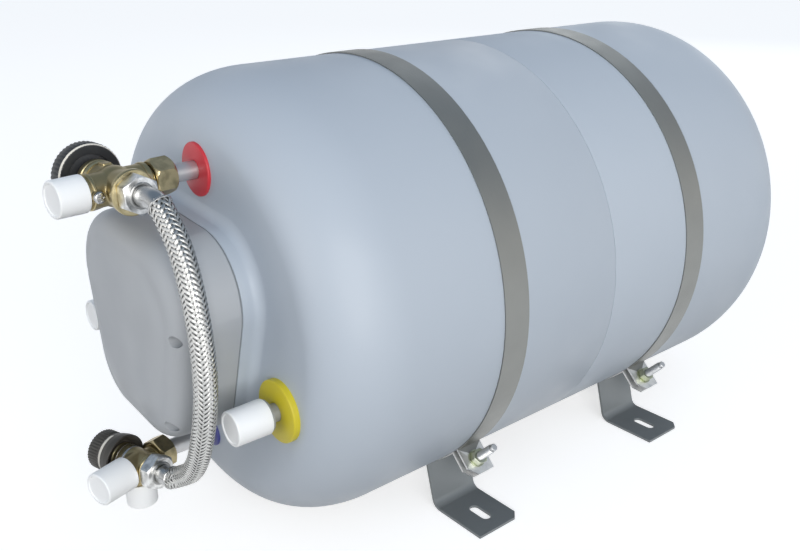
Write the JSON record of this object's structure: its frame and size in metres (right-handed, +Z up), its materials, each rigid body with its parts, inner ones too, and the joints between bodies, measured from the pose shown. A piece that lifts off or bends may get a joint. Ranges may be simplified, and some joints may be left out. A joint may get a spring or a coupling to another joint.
{
  "type": "caravan water heater",
  "caption": "Horizontal insulated water heater tank strapped on slotted feet, with mixing valve, safety valve, braided bypass hose and an electrical cover on its front end.",
  "frame": {"origin": "centre of the foot slot pattern, on the floor", "axes": "+Z up, Y along the tank's axis with the fittings at -Y, X to the right of someone facing the fittings"},
  "size_m": [0.3974, 0.7253, 0.4016],
  "materials": {
    "shell_plastic": "satin",
    "cover_plastic": "satin",
    "foam": "matte",
    "stainless": "brushed",
    "strap_steel": "satin",
    "zinc_steel": "satin",
    "yellow_zinc": "satin",
    "brass": "cast",
    "chrome": "polished",
    "spring_steel": "satin",
    "hose_braid": "braided",
    "knob_black": "satin",
    "knob_brown": "satin",
    "cap_white": "satin",
    "collar_red": "satin",
    "collar_blue": "satin",
    "collar_yellow": "satin",
    "rubber": "matte",
    "gland_plastic": "satin",
    "white_insulator": "matte",
    "button_red": "satin"
  },
  "bodies": {
    "heater": {"front_shell": "shell_plastic", "rear_shell": "shell_plastic", "insulation": "foam", "inner_tank": "stainless", "hot_pipe": "stainless", "cold_pipe": "stainless", "coil_stub_right": "stainless", "coil_stub_left": "stainless", "heat_exchanger": "stainless", "heating_element": "brass", "element_gasket": "rubber", "thermowell": "stainless", "thermostat": "white_insulator", "terminal_block": "white_insulator", "cover": "cover_plastic", "cover_seal": "rubber", "cover_screws": "zinc_steel", "gland_body": "gland_plastic", "gland_nut": "gland_plastic", "gland_seal": "rubber", "red_collar": "collar_red", "blue_collar": "collar_blue", "yellow_collars": "collar_yellow", "hot_union_nut": "brass", "cold_union_nut": "brass", "union_washers": "rubber", "mixer_body": "brass", "mixer_bonnet": "brass", "mixer_spring": "spring_steel", "outlet_screw": "chrome", "hose_nut_top": "chrome", "hose_nut_low": "chrome", "hose_tail_top": "chrome", "hose_tail_low": "chrome", "braided_hose": "hose_braid", "safety_body": "brass", "safety_bonnet": "brass", "safety_spring": "spring_steel", "front_strap": "strap_steel", "rear_strap": "strap_steel", "front_saddle": "strap_steel", "rear_saddle": "strap_steel", "right_feet": "zinc_steel", "left_feet": "zinc_steel", "clamp_bolts": "yellow_zinc", "clamp_nuts": "yellow_zinc", "clamp_washers": "yellow_zinc"},
    "temperature_knob": {"mixer_knob": "knob_black", "knob_screw": "zinc_steel", "mixer_spindle": "brass"},
    "mixing_piston": {"mixer_piston": "brass"},
    "relief_knob": {"safety_knob": "knob_brown"},
    "relief_disc": {"safety_spindle": "brass"},
    "check_valve": {"check_poppet": "white_insulator"},
    "reset_button": {"reset_button": "button_red"},
    "outlet_cap": {"outlet_cap": "cap_white"},
    "inlet_cap": {"inlet_cap": "cap_white"},
    "drain_cap": {"drain_cap": "cap_white"},
    "coil_cap_right": {"coil_cap_right": "cap_white"},
    "coil_cap_left": {"coil_cap_left": "cap_white"}
  },
  "joints": [
    {"name": "temperature_knob_turn", "type": "hinge", "parent": "heater", "child": "temperature_knob", "pos_m": [0.01463, -0.36624, 0.32712], "axis": [-0.9945, -0.1045, 0], "range_deg": [-135, 135]},
    {"name": "mixing_piston_slide", "type": "slide", "parent": "heater", "child": "mixing_piston", "axis": [0.9945, 0.1045, 0], "range_m": [-0.0012, 0.0012], "deforming": ["mixer_spring"]},
    {"name": "relief_knob_turn", "type": "hinge", "parent": "heater", "child": "relief_knob", "pos_m": [-0.00129, -0.36973, 0.07888], "axis": [-0.9563, -0.2924, 0], "range_deg": [0, 90]},
    {"name": "relief_disc_lift", "type": "slide", "parent": "heater", "child": "relief_disc", "axis": [-0.9563, -0.2924, 0], "range_m": [0, 0.0021], "deforming": ["safety_spring"]},
    {"name": "check_poppet_slide", "type": "slide", "parent": "heater", "child": "check_valve", "axis": [-0.2924, 0.9563, 0], "range_m": [0, 0.004], "stiffness_N_per_m": 25, "springref_m": -0.001},
    {"name": "reset_button_press", "type": "slide", "parent": "heater", "child": "reset_button", "axis": [0, 1, 0], "range_m": [0, 0.0025], "stiffness_N_per_m": 400, "springref_m": -0.0005},
    {"name": "outlet_cap_pull", "type": "slide", "parent": "heater", "child": "outlet_cap", "axis": [0.1045, -0.9945, 0], "range_m": [0, 0.03]},
    {"name": "inlet_cap_pull", "type": "slide", "parent": "heater", "child": "inlet_cap", "axis": [0.2924, -0.9563, 0], "range_m": [0, 0.03]},
    {"name": "drain_cap_pull", "type": "slide", "parent": "heater", "child": "drain_cap", "axis": [0, 0, -1], "range_m": [0, 0.022]},
    {"name": "coil_cap_right_pull", "type": "slide", "parent": "heater", "child": "coil_cap_right", "axis": [0, -1, 0], "range_m": [0, 0.0055]},
    {"name": "coil_cap_left_pull", "type": "slide", "parent": "heater", "child": "coil_cap_left", "axis": [0, -1, 0], "range_m": [0, 0.03]}
  ],
  "couplings": [
    {"joint": "mixing_piston_slide", "follows": "temperature_knob_turn", "m_per_rad": 0.00047746},
    {"joint": "relief_disc_lift", "follows": "relief_knob_turn", "m_per_rad": 0.0012732}
  ]
}
